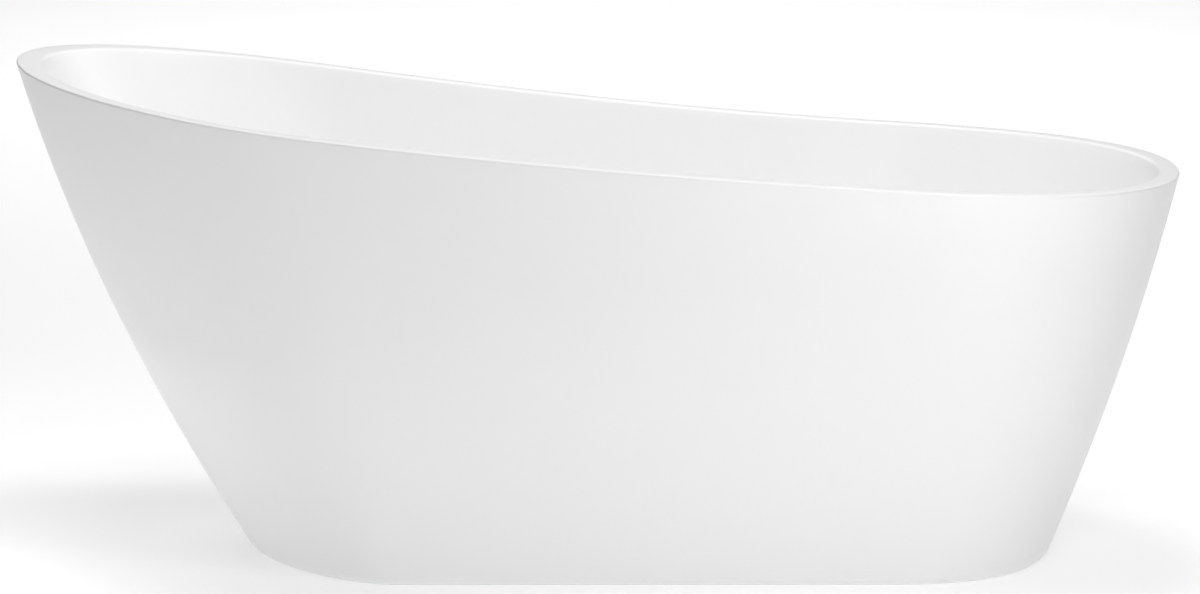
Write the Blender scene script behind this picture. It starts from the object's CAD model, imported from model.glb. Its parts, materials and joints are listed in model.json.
import json
import math

import bmesh
import bpy
import numpy as np
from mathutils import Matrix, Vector

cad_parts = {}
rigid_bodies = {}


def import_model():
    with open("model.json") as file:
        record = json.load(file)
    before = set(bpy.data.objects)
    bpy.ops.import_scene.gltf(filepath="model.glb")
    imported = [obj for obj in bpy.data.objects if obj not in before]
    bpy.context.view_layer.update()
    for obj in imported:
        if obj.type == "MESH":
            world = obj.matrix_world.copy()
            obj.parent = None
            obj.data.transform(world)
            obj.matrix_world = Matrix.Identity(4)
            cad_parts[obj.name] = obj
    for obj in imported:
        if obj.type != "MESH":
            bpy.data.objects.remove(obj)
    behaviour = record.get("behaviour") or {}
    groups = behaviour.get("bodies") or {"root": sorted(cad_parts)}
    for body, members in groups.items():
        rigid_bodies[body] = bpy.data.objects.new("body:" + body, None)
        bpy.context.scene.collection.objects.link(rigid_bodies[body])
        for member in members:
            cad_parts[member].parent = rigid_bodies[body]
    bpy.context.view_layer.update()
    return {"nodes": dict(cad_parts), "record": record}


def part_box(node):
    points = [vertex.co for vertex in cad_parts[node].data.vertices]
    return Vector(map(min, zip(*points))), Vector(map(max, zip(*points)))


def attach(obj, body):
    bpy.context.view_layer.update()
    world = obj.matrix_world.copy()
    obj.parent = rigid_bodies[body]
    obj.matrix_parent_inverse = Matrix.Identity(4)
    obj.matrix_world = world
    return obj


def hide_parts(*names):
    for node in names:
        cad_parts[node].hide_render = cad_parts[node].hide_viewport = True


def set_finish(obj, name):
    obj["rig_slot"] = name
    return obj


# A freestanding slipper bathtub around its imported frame. Lengths are in metres.
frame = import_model()

# ---------------------------------------------------------------- the tub's shape
LENGTH, HEAD_HEIGHT, FOOT_HEIGHT, RIM_DIP = 1.700, 0.740, 0.576, 0.030
FLOOR_HEIGHT, FLOOR_ROUNDING = 0.140, 0.080
BASE_ROUNDING, SKIRT_WALL, FLANGE_WIDTH = 0.016, 0.005, 0.045
ACRYLIC, LIP_THICKNESS = 0.004, 0.006
LIP_OUTER_EDGE, LIP_INNER_EDGE = 0.0038, 0.0042

# Each pair is a value at the floor and at REFERENCE_HEIGHT; a third number bows the line between.
REFERENCE_HEIGHT = 0.720
SKIRT = {
    "head_end": (0.509, 0.844, 0.377),
    "foot_end": (0.6635, 0.8805, 0.373),
    "head_half_width": (0.243, 0.414),
    "foot_half_width": (0.239, 0.388),
    "head_shoulder": (-0.282, -0.426),
    "foot_shoulder": (0.446, 0.457),
}


def straight(low, low_value, high, high_value):
    """The pair for a straight wall through two heights."""
    slope = (high_value - low_value) / (high - low)
    return (low_value - slope * low, low_value + slope * (REFERENCE_HEIGHT - low))


CAVITY = {
    "head_end": straight(FLOOR_HEIGHT, 0.500, HEAD_HEIGHT, 0.817),
    "foot_end": straight(FLOOR_HEIGHT, 0.560, FOOT_HEIGHT, 0.819),
    "head_half_width": straight(FLOOR_HEIGHT, 0.225, 0.676, 0.3735),
    "foot_half_width": straight(FLOOR_HEIGHT, 0.215, 0.593, 0.3317),
    "head_shoulder": straight(FLOOR_HEIGHT, -0.300, 0.676, -0.417),
    "foot_shoulder": straight(FLOOR_HEIGHT, 0.330, 0.593, 0.455),
}
HEAD_FULLNESS = {"across": (0.36, 0.54), "along": (0.49, 0.57)}
FOOT_FULLNESS = {"across": (0.62, 0.63), "along": (0.575, 0.615)}

# Columns of the mesh round one side of the tub, per stretch of its outline.
HEAD_COLUMNS, SIDE_COLUMNS, FOOT_COLUMNS = 60, 56, 48
COLUMNS = 2 * (HEAD_COLUMNS + SIDE_COLUMNS + FOOT_COLUMNS)
# Rows of the mesh down each side of each shell.
CAVITY_ROWS, BASIN_BACK_ROWS, SKIRT_ROWS, SKIRT_BACK_ROWS = 44, 24, 48, 32
FLOOR_RING_SHARES = (0.2, 0.4, 0.6, 0.8, 0.93)  # from the middle of the floor to its rounding
LIP_RING_SHARES = (0.25, 0.5, 0.75)  # across the flat of the lip
RIM_SEARCH_STEPS = 12


def at_height(span, z):
    low, high, bow = span if len(span) == 3 else (*span, 0.0)
    s = z / REFERENCE_HEIGHT
    return low + (high - low) * (s + bow * s * (1 - s))


def bezier(points, t):
    """A cubic curve through its end points; each coordinate may be a number or one value a column."""
    a, b, c, d = points
    return (1 - t) ** 3 * a + 3 * t * (1 - t) ** 2 * b + 3 * t**2 * (1 - t) * c + t**3 * d


def outline(wall, z, inset):
    """x and y of every column of the wall at its own height z, moved inwards by the inset."""
    z = np.broadcast_to(np.asarray(z, float), (COLUMNS,))
    half = COLUMNS // 2
    # The second side runs back from the foot end to the head end.
    order = np.concatenate([np.arange(half), np.arange(half, 0, -1)])
    side = np.where(np.arange(COLUMNS) < half, 1.0, -1.0)
    head_x = inset - at_height(wall["head_end"], z)
    foot_x = at_height(wall["foot_end"], z) - inset
    head_y = at_height(wall["head_half_width"], z) - inset
    foot_y = at_height(wall["foot_half_width"], z) - inset
    head_mid = at_height(wall["head_shoulder"], z)
    foot_mid = at_height(wall["foot_shoulder"], z)
    head_reach = at_height(HEAD_FULLNESS["along"], z) * (head_mid - head_x)
    foot_reach = at_height(FOOT_FULLNESS["along"], z) * (foot_x - foot_mid)
    head_rise = at_height(HEAD_FULLNESS["across"], z) * head_y
    foot_rise = at_height(FOOT_FULLNESS["across"], z) * foot_y
    third = (foot_mid - head_mid) / 3
    head_xs = (head_x, head_x, head_mid - head_reach, head_mid)
    side_xs = (head_mid, head_mid + third, foot_mid - third, foot_mid)
    foot_xs = (foot_mid, foot_mid + foot_reach, foot_x, foot_x)
    stretches = (
        (HEAD_COLUMNS, head_xs, (0 * head_y, head_rise, head_y, head_y)),
        (SIDE_COLUMNS, side_xs, (head_y, head_y, foot_y, foot_y)),
        (FOOT_COLUMNS, foot_xs, (foot_y, foot_y, foot_rise, 0 * foot_y)),
    )
    x, y = np.zeros(COLUMNS), np.zeros(COLUMNS)
    start = 0
    for count, xs, ys in stretches:
        t = (order - start) / count
        here = (order >= start) & (order <= start + count)
        x[here] = bezier(xs, t)[here]
        y[here] = bezier(ys, t)[here]
        start += count
    return x, side * y


def rim_height(x):
    """Height of the rim's arc, seen from the side: a circle through its two ends and its middle."""
    middle = (HEAD_HEIGHT + FOOT_HEIGHT) / 2 - RIM_DIP
    half = LENGTH / 2
    slope = (FOOT_HEIGHT - HEAD_HEIGHT) / LENGTH
    rises = (HEAD_HEIGHT - middle) ** 2 / 2 + (FOOT_HEIGHT - middle) ** 2 / 2
    centre_z = middle + (half**2 + rises) / (HEAD_HEIGHT + FOOT_HEIGHT - 2 * middle)
    centre_x = -slope * (centre_z - (HEAD_HEIGHT + FOOT_HEIGHT) / 2)
    radius = math.hypot(centre_x, centre_z - middle)
    return centre_z - np.sqrt(radius**2 - (x - centre_x) ** 2)


def ring_at(wall, z, inset=0.0):
    x, y = outline(wall, z, inset)
    return np.stack([x, y, np.broadcast_to(np.asarray(z, float), x.shape)], axis=1)


def ring_below_rim(wall, drop, inset=0.0):
    """The ring of points on the wall that lie this far below the rim's arc."""
    z = np.full(COLUMNS, FOOT_HEIGHT)
    for _ in range(RIM_SEARCH_STEPS):
        x, _ = outline(wall, z, inset)
        z = rim_height(x) - drop
    return ring_at(wall, z, inset)


def wall_rings(wall, top_ring, low, inset, count):
    """Rings down a wall from the top ring to a level, not including the top ring."""
    rings = []
    for step in range(1, count + 1):
        z = top_ring[:, 2] + (low - top_ring[:, 2]) * step / count
        rings.append(ring_at(wall, z, inset))
    return rings


def rounding_rings(wall, bottom, radius, inset, steps=12):
    """Rings round a lower edge, from the wall down to the flat bottom, not including the first."""
    rings = []
    for step in range(1, steps + 1):
        turn = math.pi / 2 * step / steps
        z = bottom + radius * (1 - math.sin(turn))
        rings.append(ring_at(wall, z, inset + radius * (1 - math.cos(turn))))
    return rings


def lip_rings(edge_wall, radius, outwards, steps=6):
    """Rings round one edge of the lip, from its flat top over to the wall."""
    rings = []
    for step in range(steps + 1):
        turn = math.pi / 2 * step / steps
        inset = outwards * radius * (1 - math.sin(turn))
        rings.append(ring_below_rim(edge_wall, radius * (1 - math.cos(turn)), inset))
    return rings


# ---------------------------------------------------------------- mesh helpers
SHARP_ANGLE = math.radians(32)
MERGE_DISTANCE = 1e-6
EDGE_SEGMENTS = 3


def mesh_object(name, vertices, faces):
    mesh = bpy.data.meshes.new(name)
    mesh.from_pydata([tuple(v) for v in vertices], [], faces)
    mesh.update()
    obj = bpy.data.objects.new(name, mesh)
    bpy.context.scene.collection.objects.link(obj)
    return obj


def smooth(obj, angle=SHARP_ANGLE):
    obj.data.polygons.foreach_set("use_smooth", [True] * len(obj.data.polygons))
    obj.data.set_sharp_from_angle(angle=angle)
    obj.data.update()
    return obj


def outward(obj):
    """Turns every face to look outwards."""
    bm = bmesh.new()
    bm.from_mesh(obj.data)
    bmesh.ops.recalc_face_normals(bm, faces=bm.faces)
    bm.to_mesh(obj.data)
    bm.free()
    obj.data.update()
    return obj


def skin(name, rings, closed=False):
    """A mesh over rings of equal length: closed joins the last ring to the first, or else caps both ends."""
    count = len(rings[0])
    vertices = np.concatenate(rings)
    faces = []
    spans = len(rings) if closed else len(rings) - 1
    for row in range(spans):
        a, b = row * count, (row + 1) % len(rings) * count
        for i in range(count):
            j = (i + 1) % count
            faces.append((a + i, a + j, b + j, b + i))
    if not closed:
        faces.append(tuple(reversed(range(count))))
        faces.append(tuple(range((len(rings) - 1) * count, len(rings) * count)))
    return outward(mesh_object(name, vertices, faces))


def lathe(name, origin, axis, profile, steps=96):
    """A closed turned piece: the profile is a loop of (radius, height) pairs along the axis."""
    axis = Vector(axis).normalized()
    across = axis.orthogonal().normalized()
    third = axis.cross(across)
    vertices, faces = [], []
    for step in range(steps):
        turn = 2 * math.pi * step / steps
        direction = across * math.cos(turn) + third * math.sin(turn)
        for radius, height in profile:
            vertices.append(Vector(origin) + direction * radius + axis * height)
    count = len(profile)
    for step in range(steps):
        a, b = step * count, (step + 1) % steps * count
        for i in range(count):
            j = (i + 1) % count
            faces.append((a + i, a + j, b + j, b + i))
    obj = mesh_object(name, vertices, faces)
    bm = bmesh.new()
    bm.from_mesh(obj.data)
    bmesh.ops.remove_doubles(bm, verts=bm.verts, dist=MERGE_DISTANCE)
    bmesh.ops.dissolve_degenerate(bm, edges=bm.edges, dist=MERGE_DISTANCE)
    bmesh.ops.recalc_face_normals(bm, faces=bm.faces)
    bm.to_mesh(obj.data)
    bm.free()
    return smooth(obj)


def apply_modifiers(obj):
    depsgraph = bpy.context.evaluated_depsgraph_get()
    mesh = bpy.data.meshes.new_from_object(obj.evaluated_get(depsgraph))
    obj.modifiers.clear()
    obj.data = mesh
    return obj


def combine(obj, other, operation):
    """Cuts or joins another closed mesh, which is then removed."""
    modifier = obj.modifiers.new(operation.lower(), "BOOLEAN")
    modifier.operation = operation
    modifier.solver = "EXACT"
    modifier.object = other
    apply_modifiers(obj)
    bpy.data.objects.remove(other)
    return obj


# ---------------------------------------------------------------- fittings' places
WASTE = Vector((0.400, 0.0, FLOOR_HEIGHT))
WASTE_RECESS_RADIUS, WASTE_RECESS_DEPTH, WASTE_HOLE_RADIUS = 0.037, 0.004, 0.026
WASTE_BOSS_RADIUS, WASTE_BOSS_BOTTOM, WASTE_BOSS_TOP = 0.045, -0.010, -0.003
OVERFLOW_HEIGHT, OVERFLOW_SEAT_DEPTH = 0.470, 0.0035
OVERFLOW_SEAT_RADIUS, OVERFLOW_BOSS_RADIUS, OVERFLOW_HOLE_RADIUS = 0.037, 0.042, 0.024
OVERFLOW_BOSS_DEPTH, OVERFLOW_BOSS_FRONT = 0.0065, 0.002
UP, LENGTHWAYS, SIDEWAYS = Vector((0, 0, 1)), Vector((1, 0, 0)), Vector((0, 1, 0))
foot_low, foot_high = CAVITY["foot_end"]
WALL_LEAN = math.atan2(foot_high - foot_low, REFERENCE_HEIGHT)
WALL_INWARD = Vector((-math.cos(WALL_LEAN), 0, math.sin(WALL_LEAN)))
wall_point = Vector((at_height(CAVITY["foot_end"], OVERFLOW_HEIGHT), 0, OVERFLOW_HEIGHT))
SEAT = wall_point - WALL_INWARD * OVERFLOW_SEAT_DEPTH


# ---------------------------------------------------------------- the two shells
CUT_REACH = 0.025  # how far a cutting disc runs past the wall that it cuts


def disc(origin, axis, radius, low, high):
    return lathe("disc", origin, axis, [(0, low), (radius, low), (radius, high), (0, high)])


def basin():
    """The inner shell: floor, walls, lip and the turned-over edge, with its recesses for the fittings."""
    rings = []
    inner_edge = lip_rings(CAVITY, LIP_INNER_EDGE, -1)
    outer_edge = lip_rings(SKIRT, LIP_OUTER_EDGE, 1)
    floor_edge = rounding_rings(CAVITY, FLOOR_HEIGHT, FLOOR_ROUNDING, 0)
    centre = np.array([0.0, 0.0, FLOOR_HEIGHT])
    rings += [centre + (floor_edge[-1] - centre) * share for share in FLOOR_RING_SHARES]
    rings += reversed(floor_edge)
    rings += reversed(wall_rings(CAVITY, inner_edge[-1], FLOOR_HEIGHT + FLOOR_ROUNDING, 0, CAVITY_ROWS))
    rings += reversed(inner_edge)
    for share in LIP_RING_SHARES:
        flat = inner_edge[0] * (1 - share) + outer_edge[0] * share
        flat[:, 2] = rim_height(flat[:, 0])
        rings.append(flat)
    rings += outer_edge
    rings.append(ring_below_rim(SKIRT, LIP_THICKNESS))
    under_lip = ring_below_rim(CAVITY, LIP_THICKNESS, -ACRYLIC)
    rings.append(under_lip)
    rings += wall_rings(CAVITY, under_lip, FLOOR_HEIGHT + FLOOR_ROUNDING, -ACRYLIC, BASIN_BACK_ROWS)
    rings += rounding_rings(CAVITY, FLOOR_HEIGHT - ACRYLIC, FLOOR_ROUNDING + ACRYLIC, -ACRYLIC)
    obj = skin("basin", rings)
    # Each boss starts inside the acrylic, so that the two run into each other.
    combine(obj, disc(WASTE, UP, WASTE_BOSS_RADIUS, WASTE_BOSS_BOTTOM, WASTE_BOSS_TOP), "UNION")
    combine(obj, disc(WASTE, UP, WASTE_RECESS_RADIUS, -WASTE_RECESS_DEPTH, CUT_REACH), "DIFFERENCE")
    combine(obj, disc(WASTE, UP, WASTE_HOLE_RADIUS, -CUT_REACH, CUT_REACH), "DIFFERENCE")
    boss = disc(SEAT, WALL_INWARD, OVERFLOW_BOSS_RADIUS, -OVERFLOW_BOSS_DEPTH, OVERFLOW_BOSS_FRONT)
    combine(obj, boss, "UNION")
    combine(obj, disc(SEAT, WALL_INWARD, OVERFLOW_SEAT_RADIUS, 0, CUT_REACH), "DIFFERENCE")
    combine(obj, disc(SEAT, WALL_INWARD, OVERFLOW_HOLE_RADIUS, -CUT_REACH, CUT_REACH), "DIFFERENCE")
    smooth(obj)
    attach(obj, "tub")
    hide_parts("basin_shell")
    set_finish(obj, "basin_acrylic")
    return obj


def skirt():
    """The outer shell: from under the lip down to the floor, and turned inwards there."""
    top = ring_below_rim(SKIRT, LIP_THICKNESS)
    rings = [top]
    rings += wall_rings(SKIRT, top, BASE_ROUNDING, 0, SKIRT_ROWS)
    rings += rounding_rings(SKIRT, 0.0, BASE_ROUNDING, 0)
    rings.append(ring_at(SKIRT, 0.0, FLANGE_WIDTH))
    rings.append(ring_at(SKIRT, SKIRT_WALL, FLANGE_WIDTH))
    inside_top = ring_below_rim(SKIRT, LIP_THICKNESS, SKIRT_WALL)
    inside = [inside_top]
    inside += wall_rings(SKIRT, inside_top, BASE_ROUNDING, SKIRT_WALL, SKIRT_BACK_ROWS)
    inside += rounding_rings(SKIRT, SKIRT_WALL, BASE_ROUNDING - SKIRT_WALL, SKIRT_WALL)
    rings += reversed(inside)
    obj = smooth(skin("skirt", rings, closed=True))
    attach(obj, "tub")
    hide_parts("skirt_shell")
    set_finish(obj, "skirt_acrylic")
    return obj


basin()
skirt()


# ---------------------------------------------------------------- chrome fittings
def corner(centre, radius, start, end, steps=8):
    """Points round a corner of a turned profile, between two angles in degrees."""
    turns = [math.radians(start + (end - start) * step / steps) for step in range(steps + 1)]
    return [(centre[0] + radius * math.cos(turn), centre[1] + radius * math.sin(turn)) for turn in turns]


def block(name, origin, directions, half_sizes, corner_radius=0.0):
    """A block with its own three directions; a corner radius rounds all its edges."""
    corners = [(x, y, z) for x in (-1, 1) for y in (-1, 1) for z in (-1, 1)]
    vertices = []
    for signs in corners:
        steps = [d * size * sign for d, size, sign in zip(directions, half_sizes, signs)]
        vertices.append(Vector(origin) + sum(steps, Vector()))
    faces = [(0, 1, 3, 2), (4, 6, 7, 5), (0, 4, 5, 1), (2, 3, 7, 6), (0, 2, 6, 4), (1, 5, 7, 3)]
    obj = outward(mesh_object(name, vertices, faces))
    if corner_radius > 0:
        modifier = obj.modifiers.new("rounding", "BEVEL")
        modifier.width = corner_radius
        modifier.segments = EDGE_SEGMENTS
        apply_modifiers(obj)
    return obj


def join(name, objects):
    """One piece from several separate meshes."""
    bm = bmesh.new()
    for obj in objects:
        bm.from_mesh(obj.data)
        bpy.data.objects.remove(obj)
    joined = mesh_object(name, [], [])
    bm.to_mesh(joined.data)
    bm.free()
    return joined


def fitted(obj, body, node, slot):
    """Puts a finished piece in its CAD node's stead."""
    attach(smooth(obj), body)
    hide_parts(node)
    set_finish(obj, slot)
    return obj


def waste_flange():
    """Turned flange with an eased mouth, a plain tail, and a cross of webs round a sleeve."""
    radius, tail, bore, bottom, seat = 0.035, 0.024, 0.020, -0.042, -0.0025
    tail_ease, under_ease, rim_round, mouth_round = 0.0008, 0.0004, 0.0014, 0.0022
    dish_inset, dish_depth = 0.006, 0.0002
    web_half_height, web_half_thickness, web_overlap = 0.005, 0.0015, 0.001
    sleeve_radius, hole_radius, hole_reach = 0.0115, 0.00905, 0.01
    profile = [(bore, bottom), (tail - tail_ease, bottom), (tail, bottom + tail_ease)]
    profile += [(tail, seat), (radius - under_ease, seat)]
    profile += corner((radius - rim_round, -rim_round), rim_round, 0, 90)
    profile += [(radius - dish_inset, -dish_depth)]
    profile += corner((bore + mouth_round, -mouth_round), mouth_round, 90, 180)
    obj = lathe("waste_flange_turned", WASTE, UP, profile)
    middle = WASTE + UP * (bottom + web_half_height)
    half_sizes = (bore + web_overlap, web_half_thickness, web_half_height)
    for along, across in ((LENGTHWAYS, SIDEWAYS), (SIDEWAYS, LENGTHWAYS)):
        combine(obj, block("web", middle, (along, across, UP), half_sizes), "UNION")
    combine(obj, disc(middle, UP, sleeve_radius, -web_half_height, web_half_height), "UNION")
    combine(obj, disc(middle, UP, hole_radius, -hole_reach, hole_reach), "DIFFERENCE")
    return fitted(obj, "tub", "waste_flange", "chrome")


def stopper_cap():
    """Domed cap of the click-clack stopper, hollowed a little underneath round its seal."""
    radius, bottom, top, edge = 0.031, 0.0015, 0.0075, 0.0034
    seal_radius, seal_step = 0.0284, 0.0006
    profile = [(0, bottom), (seal_radius, bottom), (seal_radius, bottom + seal_step)]
    profile += [(radius - 0.0004, bottom + seal_step), (radius, bottom + 0.001)]
    profile += corner((radius - edge, top - edge - 0.0006), edge, 0, 84)
    profile += [(0.024, top - 0.0003), (0.016, top - 0.0001), (0.008, top), (0, top)]
    return fitted(lathe("stopper_cap_domed", WASTE, UP, profile), "stopper", "stopper_cap", "chrome")


def overflow_cover():
    """Pressed cap over the overflow, with notches round its edge that let the water in."""
    radius, height, wall, screw_hole, boss = 0.034, 0.009, 0.002, 0.00305, 0.005
    profile = [(screw_hole, 0), (boss, 0), (boss, height - wall), (radius - wall, height - wall)]
    profile += [(radius - wall, 0), (radius - 0.0004, 0), (radius, 0.0004)]
    profile += corner((radius - 0.003, height - 0.0034), 0.003, 0, 84)
    profile += [(0.022, height - 0.0001), (0.0062, height)]
    profile += [(0.0058, height - 0.0005), (screw_hole, height - 0.0005)]
    obj = lathe("overflow_cover_turned", SEAT, WALL_INWARD, profile, steps=144)
    count, notch_half_sizes, notch_round = 12, (0.004, 0.003, 0.0035), 0.0009
    notches = []
    for step in range(count):
        turn = math.radians(360 / count * (step + 0.5))
        out = SIDEWAYS * math.cos(turn) + WALL_INWARD.cross(SIDEWAYS) * math.sin(turn)
        directions = (out, WALL_INWARD.cross(out), WALL_INWARD)
        notches.append(block("notch", SEAT + out * radius, directions, notch_half_sizes, notch_round))
    combine(obj, join("notches", notches), "DIFFERENCE")
    return fitted(obj, "tub", "overflow_cover", "chrome")


def overflow_screw():
    """Slotted oval-headed screw that holds the cover."""
    seat, head, top, shank, end = 0.009, 0.0055, 0.0115, 0.003, -0.014
    profile = [(0, end), (shank - 0.0006, end), (shank, end + 0.0006), (shank, seat)]
    profile += [(head - 0.0003, seat), (head, seat + 0.0003)]
    profile += corner((head - 0.0012, top - 0.0015), 0.0012, 0, 70)
    profile += [(0.0024, top - 0.0001), (0, top)]
    obj = lathe("overflow_screw_turned", SEAT, WALL_INWARD, profile, steps=64)
    directions = (SIDEWAYS, WALL_INWARD.cross(SIDEWAYS), WALL_INWARD)
    slot = block("slot", SEAT + WALL_INWARD * top, directions, (0.0070, 0.0006, 0.0012))
    combine(obj, slot, "DIFFERENCE")
    return fitted(obj, "tub", "overflow_screw", "brass")


# ---------------------------------------------------------------- feet and nuts
NUT_FLATS, NUT_HEIGHT = 0.019, 0.010
THREAD_RADIUS, THREAD_PITCH, THREAD_DEPTH = 0.006, 0.00175, 0.0009
CORNER_EASE = 0.6  # share of a hexagon's corners that is turned away
FOOT_NAMES = ("head_left", "head_right", "middle", "foot_left", "foot_right")


def hexagon(name, centre, flats, bottom, top):
    """A hexagonal prism from one height to another, its corners eased as on a turned nut."""
    x, y = centre
    reach = flats / 2 / math.cos(math.pi / 6)
    vertices = []
    for z in (bottom, top):
        for side in range(6):
            turn = math.pi / 3 * side
            vertices.append((x + reach * math.cos(turn), y + reach * math.sin(turn), z))
    faces = [(5, 4, 3, 2, 1, 0), (6, 7, 8, 9, 10, 11)]
    faces += [(side, (side + 1) % 6, (side + 1) % 6 + 6, side + 6) for side in range(6)]
    obj = outward(mesh_object(name, vertices, faces))
    ease = (reach - flats / 2) * CORNER_EASE
    height = top - bottom
    profile = [(0, 0), (flats / 2, 0), (reach, ease)]
    profile += [(reach, height - ease), (flats / 2, height), (0, height)]
    return combine(obj, lathe("turning", (x, y, bottom), UP, profile), "INTERSECT")


def thread(name, centre, bottom, top):
    """A screw thread: rings whose radius follows a helix, tapering into a plain end at the top."""
    columns, rows_per_turn = 32, 8
    rows = int((top - bottom) / THREAD_PITCH * rows_per_turn)
    rings = []
    for row in range(rows + 1):
        z = bottom + (top - bottom) * row / rows
        turn = np.arange(columns) / columns
        phase = (z / THREAD_PITCH - turn) % 1.0
        radius = THREAD_RADIUS - THREAD_DEPTH * np.abs(2 * phase - 1)
        radius = np.minimum(radius, THREAD_RADIUS - THREAD_DEPTH + (top - z))
        angle = 2 * math.pi * turn
        x = centre[0] + radius * np.cos(angle)
        y = centre[1] + radius * np.sin(angle)
        rings.append(np.stack([x, y, np.full(columns, z)], axis=1))
    return skin(name, rings)


def foot_stem(place):
    """A threaded foot: a pin that turns in its pad, a hexagon for the spanner and an M12 thread."""
    low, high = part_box(f"foot_stem_{place}")
    centre = ((low.x + high.x) / 2, (low.y + high.y) / 2)
    spanner_bottom, spanner_top, spanner_flats, pin_radius = 0.016, 0.024, 0.017, 0.005
    pin = disc((*centre, 0), UP, pin_radius, low.z, spanner_bottom)
    spanner = hexagon("spanner", centre, spanner_flats, spanner_bottom, spanner_top)
    screw = thread("thread", centre, spanner_top, high.z)
    stem = join(f"foot_stem_{place}_threaded", [pin, spanner, screw])
    return fitted(stem, f"foot_{place}", f"foot_stem_{place}", "zinc_screws")


def nuts(node):
    """Five nuts, one on each foot's stem."""
    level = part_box(node)[0].z
    clearance, mouth_ease, past = 0.00005, 0.0008, 0.001
    bore = THREAD_RADIUS + clearance
    mouth = bore + mouth_ease
    profile = [(0, -past), (mouth + past, -past), (mouth, 0), (bore, mouth - bore)]
    profile += [(bore, NUT_HEIGHT - mouth + bore), (mouth, NUT_HEIGHT)]
    profile += [(mouth + past, NUT_HEIGHT + past), (0, NUT_HEIGHT + past)]
    made = []
    for place in FOOT_NAMES:
        low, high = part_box(f"foot_stem_{place}")
        centre = ((low.x + high.x) / 2, (low.y + high.y) / 2)
        nut = hexagon("nut", centre, NUT_FLATS, level, level + NUT_HEIGHT)
        made.append(combine(nut, lathe("bore", (*centre, level), UP, profile), "DIFFERENCE"))
    return fitted(join(f"{node}_eased", made), "tub", node, "zinc_screws")


waste_flange()
stopper_cap()
overflow_cover()
overflow_screw()
for place_name in FOOT_NAMES:
    foot_stem(place_name)
for nut_node in ("weld_nuts", "lock_nuts"):
    nuts(nut_node)


# ---------------------------------------------------------------- materials
def new_material(name):
    material = bpy.data.materials.new(name)
    material.use_nodes = True
    return material


def node(material, kind, sockets, **settings):
    """A new node with its settings, and its sockets set to values or linked to other nodes' outputs."""
    made = material.node_tree.nodes.new("ShaderNode" + kind)
    for setting, value in settings.items():
        setattr(made, setting, value)
    for socket, value in sockets.items():
        if isinstance(value, bpy.types.NodeSocket):
            material.node_tree.links.new(value, made.inputs[socket])
        else:
            made.inputs[socket].default_value = value
    return made


def place(material, stretch=(1, 1, 1), turn=(0, 0, 0)):
    """The point on the piece, in metres, turned and stretched."""
    where = node(material, "TexCoord", {})
    sockets = {"Vector": where.outputs["Object"], "Rotation": turn, "Scale": stretch}
    return node(material, "Mapping", sockets).outputs[0]


def noise(material, vector, scale, detail=2.0):
    sockets = {"Vector": vector, "Scale": scale, "Detail": detail}
    return node(material, "TexNoise", sockets).outputs["Fac"]


def cells(material, vector, scale):
    """Random cells: their colour, and the distance to the nearest cell's middle."""
    made = node(material, "TexVoronoi", {"Vector": vector, "Scale": scale})
    return made.outputs["Color"], made.outputs["Distance"]


def brightest(material, first, second):
    return node(material, "Math", {0: first, 1: second}, operation="MAXIMUM").outputs[0]


def between(material, factor, low, high, start=0.0, end=1.0):
    """A number that runs from low to high as the factor runs from start to end."""
    sockets = {"Value": factor, "From Min": start, "From Max": end, "To Min": low, "To Max": high}
    return node(material, "MapRange", sockets).outputs["Result"]


def tinted(material, factor, *colors, start=0.0, end=1.0):
    """A colour that runs through the colours as the factor runs from start to end."""
    ramp = node(material, "ValToRGB", {"Fac": factor})
    stops = ramp.color_ramp.elements
    stops[0].position, stops[1].position = start, end
    for place_in_row in range(1, len(colors) - 1):
        stops.new(start + (end - start) * place_in_row / (len(colors) - 1))
    for stop, color in zip(stops, colors):
        stop.color = (*color, 1)
    return ramp.outputs["Color"]


def relief(material, height, depth, strength=1.0):
    """A bump of that depth in metres."""
    sockets = {"Height": height, "Strength": strength, "Distance": depth}
    return node(material, "Bump", sockets).outputs["Normal"]


def shade(material, **sockets):
    """Sets or links the shader's own sockets; an underscore stands for a space."""
    shader = material.node_tree.nodes["Principled BSDF"]
    for name, value in sockets.items():
        socket = shader.inputs[name.replace("_", " ")]
        if isinstance(value, bpy.types.NodeSocket):
            material.node_tree.links.new(value, socket)
        else:
            socket.default_value = value
    return material


def darker(color, share):
    return tuple(channel * share for channel in color)


def acrylic(name):
    """White sanitary acrylic: a gloss surface with the slightest orange peel and drift in its polish."""
    white = (0.88, 0.88, 0.88)
    material = new_material(name)
    point = place(material)
    drift = noise(material, point, 3.0, 3.0)
    peel = noise(material, point, 60.0)
    return shade(
        material,
        Base_Color=tinted(material, drift, darker(white, 0.985), white),
        Roughness=between(material, drift, 0.30, 0.36),
        Normal=relief(material, peel, 0.001, 0.02),
        IOR=1.49,
        Specular_IOR_Level=0.28,
        Coat_Weight=0.06,
        Coat_Roughness=0.10,
    )


STRAND_STRETCH = (24, 420, 420)
STRAND_TURNS = ((0, 0, 0), (0, 0, 1.1), (0, 0, 2.2), (0, 0.9, 0.5), (0, -0.9, 1.6), (0, 1.5, 0.2))


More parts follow.
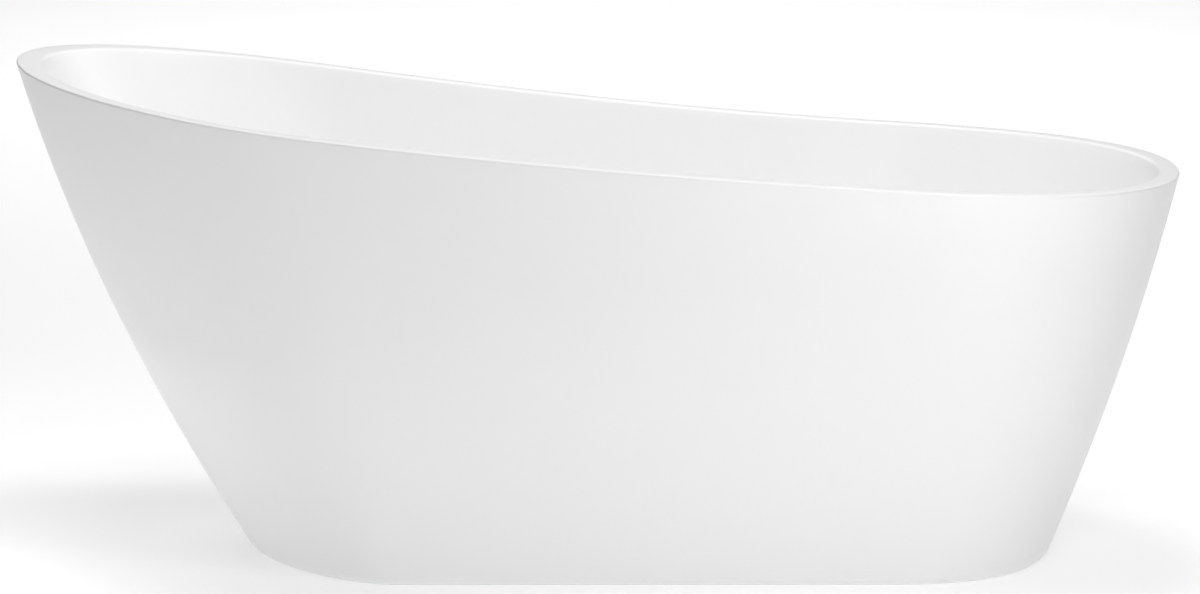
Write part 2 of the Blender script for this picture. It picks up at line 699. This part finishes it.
def glass_fibre(name):
    """Chopped strands of glass in resin, rolled on by hand: pale strands lying every way."""
    material = new_material(name)
    strands = noise(material, place(material, STRAND_STRETCH, STRAND_TURNS[0]), 1.0)
    for turn in STRAND_TURNS[1:]:
        layer = noise(material, place(material, STRAND_STRETCH, turn), 1.0)
        strands = brightest(material, strands, layer)
    puddles = noise(material, place(material), 14.0, 4.0)
    tones = ((0.50, 0.47, 0.36), (0.70, 0.68, 0.58), (0.86, 0.86, 0.80))
    return shade(
        material,
        Base_Color=tinted(material, strands, *tones, start=0.52, end=0.78),
        Roughness=between(material, puddles, 0.28, 0.72),
        Normal=relief(material, strands, 0.0006, 0.8),
        Subsurface_Weight=0.08,
        Subsurface_Radius=(0.004, 0.004, 0.003),
    )


def adhesive(name):
    """A cured bead of polyurethane, laid by hand: satin, with pinholes and a slow ripple."""
    material = new_material(name)
    ripple = noise(material, place(material), 90.0, 3.0)
    _, pinholes = cells(material, place(material), 420.0)
    return shade(
        material,
        Base_Color=tinted(material, pinholes, (0.50, 0.49, 0.45), (0.78, 0.78, 0.75), end=0.25),
        Roughness=between(material, ripple, 0.38, 0.55),
        Normal=relief(material, ripple, 0.0010, 0.6),
        Subsurface_Weight=0.05,
        Subsurface_Radius=(0.002, 0.002, 0.002),
    )


def chipboard(name):
    """Pressed wood chips of mixed browns under a thin coat of resin."""
    material = new_material(name)
    chips, edges = cells(material, place(material, (1.0, 2.2, 2.0), (0, 0, 0.4)), 150.0)
    grain = noise(material, place(material, (60, 900, 900)), 1.0, 3.0)
    tone = node(material, "RGBToBW", {"Color": chips}).outputs["Val"]
    mix = node(material, "Math", {0: tone, 1: grain, 2: 0.12}, operation="MULTIPLY_ADD")
    browns = ((0.20, 0.12, 0.06), (0.40, 0.26, 0.14), (0.56, 0.41, 0.25), (0.70, 0.56, 0.38))
    return shade(
        material,
        Base_Color=tinted(material, mix.outputs[0], *browns, start=0.15, end=0.60),
        Roughness=between(material, grain, 0.42, 0.75),
        Normal=relief(material, edges, 0.0004, 0.6),
        Coat_Weight=0.25,
        Coat_Roughness=0.30,
    )


def galvanised(name):
    """Hot-dip galvanised steel: crystals of zinc, each with its own grey and its own sheen."""
    material = new_material(name)
    spangle, edges = cells(material, place(material, (1.0, 1.4, 1.2)), 90.0)
    crystal = node(material, "RGBToBW", {"Color": spangle}).outputs["Val"]
    bloom = noise(material, place(material), 35.0, 4.0)
    cloudy = node(material, "Math", {0: crystal, 1: bloom}, operation="MULTIPLY").outputs[0]
    greys = ((0.34, 0.36, 0.38), (0.56, 0.58, 0.60), (0.72, 0.73, 0.74))
    return shade(
        material,
        Base_Color=tinted(material, cloudy, *greys, end=0.5),
        Metallic=0.9,
        Roughness=between(material, crystal, 0.30, 0.58),
        Normal=relief(material, edges, 0.0002, 0.4),
    )


def zinc(name, pale, tarnished):
    """Bright zinc plate with a faint bloom, and fine marks from handling."""
    material = new_material(name)
    bloom = noise(material, place(material), 60.0, 5.0)
    marks = noise(material, place(material, (200, 2600, 1400)), 1.0)
    return shade(
        material,
        Base_Color=tinted(material, bloom, tarnished, pale, start=0.3, end=0.62),
        Metallic=1.0,
        Roughness=between(material, bloom, 0.44, 0.26),
        Normal=relief(material, marks, 0.00005, 0.5),
    )


def chromed(name, smoothest, roughest):
    """Bright chrome: faint wiping marks and dried drops change only its polish."""
    material = new_material(name)
    wiped = noise(material, place(material, (1.0, 5.0, 2.0), (0, 0, 0.6)), 30.0, 4.0)
    _, drops = cells(material, place(material), 160.0)
    polish = node(material, "Math", {0: wiped, 1: drops}, operation="MULTIPLY").outputs[0]
    return shade(
        material,
        Base_Color=tinted(material, wiped, (0.78, 0.80, 0.82), (0.88, 0.89, 0.91)),
        Metallic=1.0,
        Roughness=between(material, polish, roughest, smoothest, end=0.4),
        Normal=relief(material, wiped, 0.00003, 0.3),
    )


def turned_brass(name):
    """Brass off the lathe: fine rings across its axis, and a little tarnish."""
    material = new_material(name)
    rings = noise(material, place(material, (12, 12, 5200)), 1.0)
    tarnish = noise(material, place(material), 120.0, 4.0)
    return shade(
        material,
        Base_Color=tinted(material, tarnish, (0.46, 0.32, 0.13), (0.72, 0.55, 0.26), start=0.3, end=0.65),
        Metallic=1.0,
        Roughness=between(material, tarnish, 0.42, 0.20),
        Normal=relief(material, rings, 0.00004, 0.6),
    )


def moulded(name, color, lighter, grain=1400.0):
    """Injection-moulded plastic: a fine spark-eroded texture, and slow drift from cooling."""
    material = new_material(name)
    texture = noise(material, place(material), grain)
    drift = noise(material, place(material), 25.0, 3.0)
    return shade(
        material,
        Base_Color=tinted(material, drift, color, lighter, start=0.3, end=0.7),
        Roughness=between(material, drift, 0.42, 0.58),
        Normal=relief(material, texture, 0.00008, 0.6),
    )


def rubber(name):
    """Black sealing rubber with a dusty bloom."""
    material = new_material(name)
    dust = noise(material, place(material), 220.0, 6.0)
    return shade(
        material,
        Base_Color=tinted(material, dust, (0.012, 0.012, 0.013), (0.060, 0.060, 0.062), start=0.45, end=0.75),
        Roughness=between(material, dust, 0.62, 0.90),
        Normal=relief(material, dust, 0.0001, 0.6),
        Specular_IOR_Level=0.35,
    )


def extruded_pipe(name):
    """Off-white waste pipe: lines drawn along it by the die, and a satin skin."""
    material = new_material(name)
    lines = noise(material, place(material, (9, 1800, 9)), 1.0)
    drift = noise(material, place(material), 18.0, 3.0)
    return shade(
        material,
        Base_Color=tinted(material, drift, (0.66, 0.66, 0.63), (0.76, 0.76, 0.73)),
        Roughness=between(material, drift, 0.30, 0.42),
        Normal=relief(material, lines, 0.00005, 0.4),
        Subsurface_Weight=0.05,
        Subsurface_Radius=(0.002, 0.002, 0.002),
    )


FINISHES = {
    "basin_acrylic": acrylic("basin_acrylic"),
    "skirt_acrylic": acrylic("skirt_acrylic"),
    "glass_fibre": glass_fibre("glass_fibre"),
    "adhesive": adhesive("adhesive"),
    "board": chipboard("board"),
    "frame_steel": galvanised("frame_steel"),
    "zinc_screws": zinc("zinc_screws", (0.72, 0.73, 0.74), (0.56, 0.54, 0.46)),
    "zinc_plate": zinc("zinc_plate", (0.70, 0.72, 0.75), (0.55, 0.57, 0.60)),
    "chrome": chromed("chrome", 0.035, 0.11),
    "chromed_pipe": chromed("chromed_pipe", 0.07, 0.20),
    "brass": turned_brass("brass"),
    "gasket_rubber": rubber("gasket_rubber"),
    "grey_plastic": moulded("grey_plastic", (0.13, 0.135, 0.145), (0.18, 0.185, 0.20)),
    "black_plastic": moulded("black_plastic", (0.012, 0.012, 0.013), (0.028, 0.028, 0.030), grain=900.0),
    "pipe_plastic": extruded_pipe("pipe_plastic"),
}


def finish(obj, slot):
    obj.data.materials.clear()
    obj.data.materials.append(FINISHES[slot])


def finish_everything():
    """Gives each CAD node, and each piece that stands for one, the finish of its slot."""
    slots = {part["node"]: part["material_slot"] for part in frame["record"]["subparts"]}
    for name, obj in frame["nodes"].items():
        finish(obj, slots[name])
    for obj in bpy.context.scene.objects:
        if "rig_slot" in obj:
            finish(obj, obj["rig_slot"])


finish_everything()


# ---------------------------------------------------------------- stage, light and camera
FLOOR_HALF_SIZE = 40.0
CAMERA_AT, CAMERA_DOWN = (0.0016, -7.0, 1.6315), 0.17679  # its place, and radians below level
LENS, SENSOR_WIDTH = 144.58, 36.0  # millimetres


def floor():
    half = FLOOR_HALF_SIZE
    corners = [(-half, -half, 0), (half, -half, 0), (half, half, 0), (-half, half, 0)]
    obj = mesh_object("floor", corners, [(0, 1, 2, 3)])
    paper = shade(
        new_material("studio_floor"),
        Base_Color=(0.85, 0.85, 0.85, 1),
        Roughness=0.9,
        Emission_Color=(1, 1, 1, 1),
        Emission_Strength=0.315,
    )
    obj.data.materials.append(paper)


LIGHTS = {
    "over_head_end": {"at": (-0.6, -0.3, 2.6), "towards": (-0.6, -0.3, 0), "size": (1.0, 1.0), "power": 15.5},
    "over_middle": {"at": (0.3, -0.2, 2.6), "towards": (0.3, -0.2, 0), "size": (1.0, 1.0), "power": 6.2},
    "backrest": {"at": (0.7, 0.3, 2.2), "towards": (-0.6, 0, 0.4), "size": (0.4, 0.4), "power": 9.5},
    "key": {"at": (0.75, -1.2, 1.0), "towards": (0.6, 0, 0.5), "size": (0.4, 0.4), "power": 4.3},
    "rim": {"at": (3.0, 3.0, 2.0), "towards": (0.3, 0, 0.5), "size": (2.0, 2.0), "power": 18.7},
    "floor_near": {"at": (0.2, 4.4, 4.2), "towards": (0.2, 4.4, 0), "size": (5.0, 6.0), "power": 84.0},
    "floor_far": {"at": (0.2, 6.4, 2.8), "towards": (0.2, 6.4, 0), "size": (7.0, 6.0), "power": 78.0},
    "floor_front": {"at": (0.3, -1.3, 0.45), "towards": (0.3, -1.3, 0), "size": (1.6, 0.8), "power": 2.4},
    "floor_corner": {"at": (-1.2, -0.5, 0.35), "towards": (-1.2, -0.5, 0), "size": (0.8, 0.8), "power": 1.9},
    "floor_head": {"at": (-1.7, 0.2, 0.25), "towards": (-1.7, 0.2, 0), "size": (1.2, 2.0), "power": 1.0},
}
# Soft glows of the room's walls: a direction, how narrow the glow is, and its strength.
GLOWS = (
    ((0, -1, 0.1), 2.0, 0.453),
    ((0.7, -1, 0.8), 4.0, 0.304),
    ((0, 1, 0.1), 2.0, 0.12),
    ((0, 0, 1), 2.0, 0.12),
    ((-1, 0, 0.1), 2.0, 0.08),
    ((1, 0, 0.1), 2.0, 0.08),
)


def room():
    """A dim room with a soft glow in each of a few directions."""
    world = bpy.data.worlds.new("studio")
    world.use_nodes = True
    where = node(world, "TexCoord", {}).outputs["Generated"]
    total = 0.0
    for direction, narrowness, strength in GLOWS:
        towards = Vector(direction).normalized()
        facing = node(world, "VectorMath", {0: where, 1: towards}, operation="DOT_PRODUCT")
        ahead = brightest(world, facing.outputs["Value"], 0.0)
        falloff = node(world, "Math", {0: ahead, 1: narrowness}, operation="POWER").outputs[0]
        sockets = {0: falloff, 1: strength, 2: total}
        total = node(world, "Math", sockets, operation="MULTIPLY_ADD").outputs[0]
    background = world.node_tree.nodes["Background"]
    world.node_tree.links.new(total, background.inputs["Strength"])
    background.inputs["Color"].default_value = (1, 1, 1, 1)
    bpy.context.scene.world = world


def studio_light():
    for name, light in LIGHTS.items():
        data = bpy.data.lights.new(name, "AREA")
        data.shape = "RECTANGLE"
        data.size, data.size_y = light["size"]
        data.energy = light["power"]
        obj = bpy.data.objects.new(name, data)
        obj.location = light["at"]
        aim = Vector(light["towards"]) - Vector(light["at"])
        # A new lamp already looks straight down, which is where most of these aim.
        if abs(aim.x) + abs(aim.y) > MERGE_DISTANCE:
            obj.rotation_euler = aim.to_track_quat("-Z", "Y").to_euler()
        obj.visible_camera = False
        bpy.context.scene.collection.objects.link(obj)
    room()
    bpy.context.scene.view_settings.view_transform = "Standard"


def camera():
    data = bpy.data.cameras.new("camera")
    data.lens = LENS
    data.sensor_width = SENSOR_WIDTH
    obj = bpy.data.objects.new("camera", data)
    obj.location = CAMERA_AT
    obj.rotation_euler = (math.pi / 2 - CAMERA_DOWN, 0, 0)
    bpy.context.scene.collection.objects.link(obj)
    bpy.context.scene.camera = obj


floor()
studio_light()
camera()
